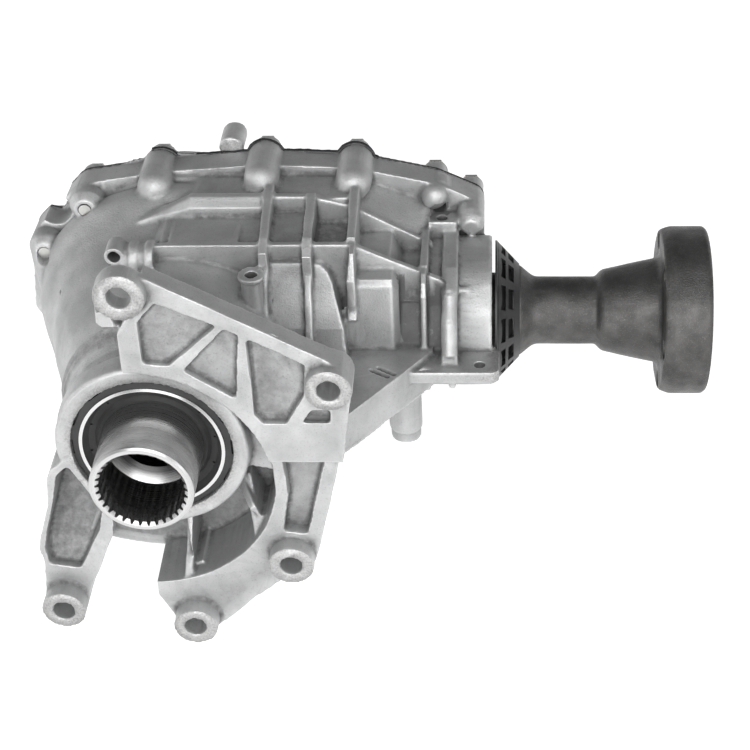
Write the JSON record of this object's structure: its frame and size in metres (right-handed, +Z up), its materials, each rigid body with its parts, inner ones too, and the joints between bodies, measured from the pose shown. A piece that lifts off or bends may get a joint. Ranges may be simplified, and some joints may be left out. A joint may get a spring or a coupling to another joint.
{
  "type": "transfer case",
  "caption": "Right-angle power take-off unit for a vehicle: hollow splined input, bevel gear pair on taper roller bearings in a ribbed aluminium case, round bolted output flange.",
  "frame": {"origin": "the input shaft's axis where it crosses the gearbox's mounting face", "axes": "-Y points at the gearbox, +X points along the output shaft to its flange, +Z is up"},
  "size_m": [0.4395, 0.2835, 0.2728],
  "materials": {
    "cast_aluminium": "as-cast, fine grain, satin",
    "zinc_steel": "zinc plated",
    "ground_steel": "ground and polished",
    "bright_steel": "bright pressed sheet",
    "gear_steel": "case hardened, oiled",
    "bearing_steel": "ground",
    "black_steel": "blackened",
    "forged_steel": "dark forged, turned faces",
    "black_plastic": "moulded, matt",
    "black_rubber": "matt rubber",
    "black_sealant": "squeezed sealing bead"
  },
  "bodies": {
    "case": {"main_housing": "cast_aluminium", "rear_cover": "cast_aluminium", "cover_bolts": "zinc_steel", "cover_sealant": "black_sealant", "locating_dowels": "ground_steel", "fill_plug": "zinc_steel", "drain_plug": "zinc_steel", "breather": "zinc_steel", "front_bearing_cup": "bearing_steel", "rear_bearing_cup": "bearing_steel", "head_bearing_cup": "bearing_steel", "tail_bearing_cup": "bearing_steel", "input_shim": "bright_steel", "pinion_shim": "bright_steel", "input_seal_ring": "bright_steel", "input_seal_lip": "black_rubber", "input_seal_retainer": "black_plastic", "rear_seal_case": "bright_steel", "rear_seal_lip": "black_rubber", "pinion_seal_case": "bright_steel", "pinion_seal_lip": "black_rubber"},
    "input_line": {"input_shaft": "ground_steel", "ring_gear": "gear_steel", "ring_gear_bolts": "black_steel", "front_bearing_cone": "bearing_steel", "rear_bearing_cone": "bearing_steel"},
    "output_line": {"pinion_shaft": "gear_steel", "head_bearing_cone": "bearing_steel", "tail_bearing_cone": "bearing_steel", "crush_sleeve": "bright_steel", "output_flange": "forged_steel", "flange_washer": "zinc_steel", "flange_nut": "zinc_steel", "dust_deflector": "black_plastic"},
    "front_roller_set": {"front_bearing_rollers": "bearing_steel"},
    "rear_roller_set": {"rear_bearing_rollers": "bearing_steel"},
    "head_roller_set": {"head_bearing_rollers": "bearing_steel"},
    "tail_roller_set": {"tail_bearing_rollers": "bearing_steel"}
  },
  "joints": [
    {"name": "input_spin", "type": "hinge", "parent": "case", "child": "input_line", "pos_m": [0, 0, 0], "axis": [0, 1, 0], "continuous": true},
    {"name": "output_spin", "type": "hinge", "parent": "case", "child": "output_line", "pos_m": [0, 0.155, 0], "axis": [1, 0, 0], "continuous": true},
    {"name": "front_rollers_spin", "type": "hinge", "parent": "case", "child": "front_roller_set", "pos_m": [0, 0.033, 0], "axis": [0, 1, 0], "continuous": true},
    {"name": "rear_rollers_spin", "type": "hinge", "parent": "case", "child": "rear_roller_set", "pos_m": [0, 0.243, 0], "axis": [0, 1, 0], "continuous": true},
    {"name": "head_rollers_spin", "type": "hinge", "parent": "case", "child": "head_roller_set", "pos_m": [0.11, 0.155, 0], "axis": [1, 0, 0], "continuous": true},
    {"name": "tail_rollers_spin", "type": "hinge", "parent": "case", "child": "tail_roller_set", "pos_m": [0.142, 0.155, 0], "axis": [1, 0, 0], "continuous": true}
  ],
  "couplings": [
    {"joint": "output_spin", "follows": "input_spin", "ratio": -2.5},
    {"joint": "front_rollers_spin", "follows": "input_spin", "ratio": 0.4526},
    {"joint": "rear_rollers_spin", "follows": "input_spin", "ratio": 0.4526},
    {"joint": "head_rollers_spin", "follows": "input_spin", "ratio": -1.0656},
    {"joint": "tail_rollers_spin", "follows": "input_spin", "ratio": -1.0589}
  ]
}
